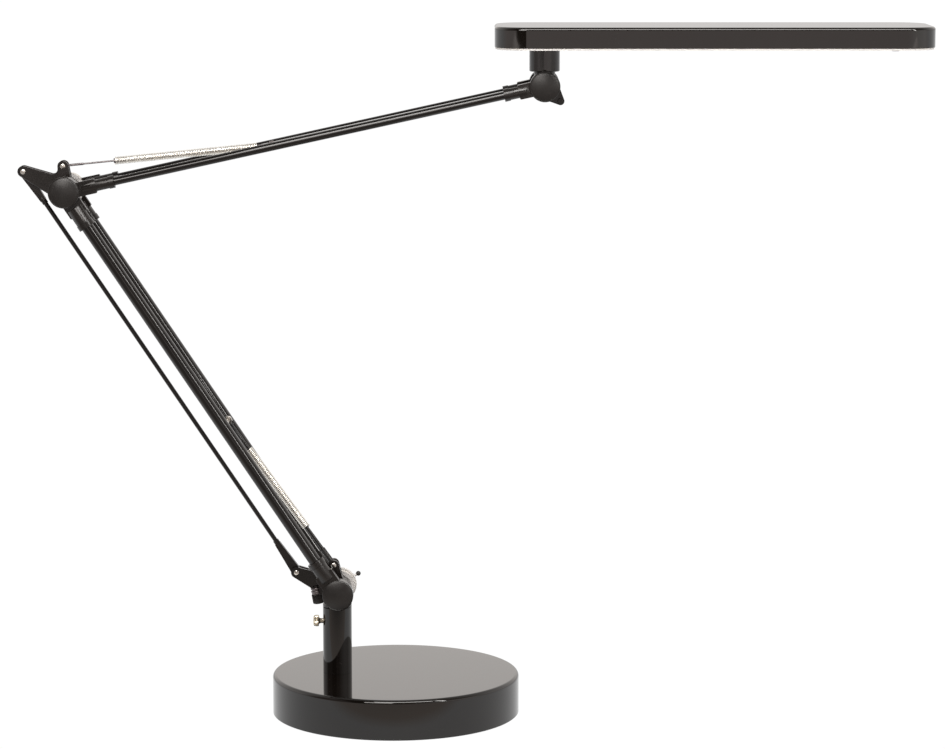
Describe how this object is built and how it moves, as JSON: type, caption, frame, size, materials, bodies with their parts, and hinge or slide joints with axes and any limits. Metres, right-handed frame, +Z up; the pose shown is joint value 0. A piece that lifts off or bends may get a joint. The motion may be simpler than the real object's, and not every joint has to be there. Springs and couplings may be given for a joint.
{
  "type": "desk lamp",
  "caption": "Balanced-arm desk lamp: round weighted base, twin-tube arms with parallelogram strut and tension springs, flat LED head.",
  "frame": {"origin": "centre of the base's underside, on the surface the lamp stands on", "axes": "+Z up, +X from the post towards the lamp head along the arms, +Y away from the viewer of the picture"},
  "size_m": [0.7258, 0.2, 0.5575],
  "materials": {
    "foot_rubber": "matt black rubber",
    "cast_iron": "raw casting",
    "gloss_cover": "glossy black",
    "post_paint": "glossy black paint",
    "tube_paint": "glossy black paint",
    "moulded_black": "satin black moulding",
    "cap_black": "satin black",
    "steel_bright": "bright zinc-plated steel",
    "thumbscrew_nickel": "nickel-plated brass",
    "rod_black": "black oxide",
    "wire_steel": "drawn wire",
    "spring_steel": "nickel-plated spring wire",
    "head_gloss": "glossy black",
    "diffuser_white": "opal white",
    "board_aluminium": "white-coated aluminium board",
    "led_yellow": "phosphor yellow",
    "driver_black": "moulded case",
    "button_grey": "grey moulding"
  },
  "bodies": {
    "base": {"foot_pad": "foot_rubber", "base_cover": "gloss_cover", "base_weight": "cast_iron", "post_bolt": "steel_bright", "post": "post_paint"},
    "thumbscrew": {"thumbscrew": "thumbscrew_nickel"},
    "base_bracket": {"base_bracket": "moulded_black", "base_axle": "steel_bright", "base_strut_pin": "steel_bright", "base_spring_pin": "steel_bright"},
    "tension_knob": {"tension_knob": "moulded_black"},
    "lower_arm": {"lower_arm_foot_front": "moulded_black", "lower_arm_foot_rear": "moulded_black", "lower_arm_top_front": "moulded_black", "lower_arm_top_rear": "moulded_black", "lower_tube_front": "tube_paint", "lower_tube_rear": "tube_paint", "base_cap_front": "cap_black", "lower_cross_pin": "steel_bright"},
    "lock_lever": {"lock_lever": "steel_bright", "lever_ball": "moulded_black"},
    "strut": {"strut_rod": "tube_paint", "strut_end_base": "moulded_black", "strut_end_elbow": "moulded_black"},
    "elbow": {"elbow_bracket": "moulded_black", "elbow_axle": "steel_bright", "elbow_strut_pin": "steel_bright", "elbow_spring_pin": "steel_bright"},
    "upper_arm": {"upper_arm_heel_front": "moulded_black", "upper_arm_heel_rear": "moulded_black", "upper_arm_tip_front": "moulded_black", "upper_arm_tip_rear": "moulded_black", "upper_tube_front": "tube_paint", "upper_tube_rear": "tube_paint", "elbow_cap_front": "cap_black", "elbow_cap_rear": "cap_black", "head_cap_front": "cap_black", "head_cap_rear": "cap_black", "upper_cross_pin": "steel_bright"},
    "lower_draw_rod": {"lower_draw_rod": "rod_black"},
    "lower_spring": {"lower_spring_hook": "rod_black", "lower_spring": "spring_steel"},
    "upper_draw_rod": {"upper_draw_rod": "wire_steel"},
    "upper_spring": {"upper_spring_hook": "wire_steel", "upper_spring": "spring_steel"},
    "yoke": {"head_yoke": "moulded_black", "head_axle": "steel_bright", "yoke_pin": "steel_bright", "swivel_nut": "steel_bright"},
    "head": {"swivel_collar": "moulded_black", "head_shell": "head_gloss", "diffuser": "diffuser_white", "mount_plate": "steel_bright", "led_board": "board_aluminium", "leds": "led_yellow", "driver": "driver_black", "button_switch": "moulded_black"},
    "button": {"touch_button": "button_grey"}
  },
  "joints": [
    {"name": "base_swivel", "type": "hinge", "parent": "base", "child": "base_bracket", "pos_m": [-0.0474, 0, 0.06], "axis": [0, 0, 1], "range_deg": [-170, 170]},
    {"name": "thumbscrew_turn", "type": "hinge", "parent": "base", "child": "thumbscrew", "pos_m": [-0.0591, 0, 0.0754], "axis": [-1, 0, 0], "continuous": true},
    {"name": "tension_knob_turn", "type": "hinge", "parent": "base_bracket", "child": "tension_knob", "pos_m": [-0.0647, 0, 0.1056], "axis": [0.1564, 0, -0.9877], "continuous": true},
    {"name": "lower_arm_tilt", "type": "hinge", "parent": "base_bracket", "child": "lower_arm", "pos_m": [-0.0461, 0, 0.1008], "axis": [0, 1, 0], "range_deg": [-10, 70]},
    {"name": "lock_lever_turn", "type": "hinge", "parent": "lower_arm", "child": "lock_lever", "pos_m": [-0.0461, 0, 0.1008], "axis": [0, 1, 0], "range_deg": [-30, 30]},
    {"name": "strut_tilt", "type": "hinge", "parent": "base_bracket", "child": "strut", "pos_m": [-0.08, 0, 0.1161], "axis": [0, 1, 0], "range_deg": [-12, 72]},
    {"name": "elbow_level", "type": "hinge", "parent": "lower_arm", "child": "elbow", "pos_m": [-0.26136, 0, 0.42602], "axis": [0, 1, 0], "range_deg": [-72, 12]},
    {"name": "upper_arm_tilt", "type": "hinge", "parent": "elbow", "child": "upper_arm", "pos_m": [-0.26136, 0, 0.42602], "axis": [0, 1, 0], "range_deg": [-60, 10]},
    {"name": "lower_draw_tilt", "type": "hinge", "parent": "base_bracket", "child": "lower_draw_rod", "pos_m": [-0.05, 0, 0.122], "axis": [0, 1, 0], "range_deg": [-12, 80]},
    {"name": "lower_spring_tilt", "type": "hinge", "parent": "lower_arm", "child": "lower_spring", "pos_m": [-0.13467, 0, 0.24005], "axis": [0, 1, 0], "range_deg": [-2, 10], "deforming": ["lower_spring"]},
    {"name": "upper_draw_tilt", "type": "hinge", "parent": "elbow", "child": "upper_draw_rod", "pos_m": [-0.26356, 0, 0.44562], "axis": [0, 1, 0], "range_deg": [-66, 12]},
    {"name": "upper_spring_tilt", "type": "hinge", "parent": "upper_arm", "child": "upper_spring", "pos_m": [-0.09727, 0, 0.46209], "axis": [0, 1, 0], "range_deg": [-5, 2], "deforming": ["upper_spring"]},
    {"name": "head_tilt", "type": "hinge", "parent": "upper_arm", "child": "yoke", "pos_m": [0.11955, 0, 0.50976], "axis": [0, 1, 0], "range_deg": [-30, 90]},
    {"name": "head_swivel", "type": "hinge", "parent": "yoke", "child": "head", "pos_m": [0.11955, 0, 0.52976], "axis": [0, 0, 1], "range_deg": [-90, 90]},
    {"name": "button_press", "type": "slide", "parent": "head", "child": "button", "axis": [0, 0, 1], "range_m": [0, 0.0008], "stiffness_N_per_m": 800}
  ],
  "couplings": [
    {"joint": "strut_tilt", "follows": "lower_arm_tilt", "ratio": 1},
    {"joint": "elbow_level", "follows": "lower_arm_tilt", "ratio": -1},
    {"joint": "lower_draw_tilt", "follows": "lower_arm_tilt", "ratio": 1.14},
    {"joint": "lower_spring_tilt", "follows": "lower_arm_tilt", "ratio": 0.14},
    {"joint": "upper_draw_tilt", "follows": "upper_arm_tilt", "ratio": 1.047},
    {"joint": "upper_spring_tilt", "follows": "upper_arm_tilt", "ratio": 0.047}
  ]
}
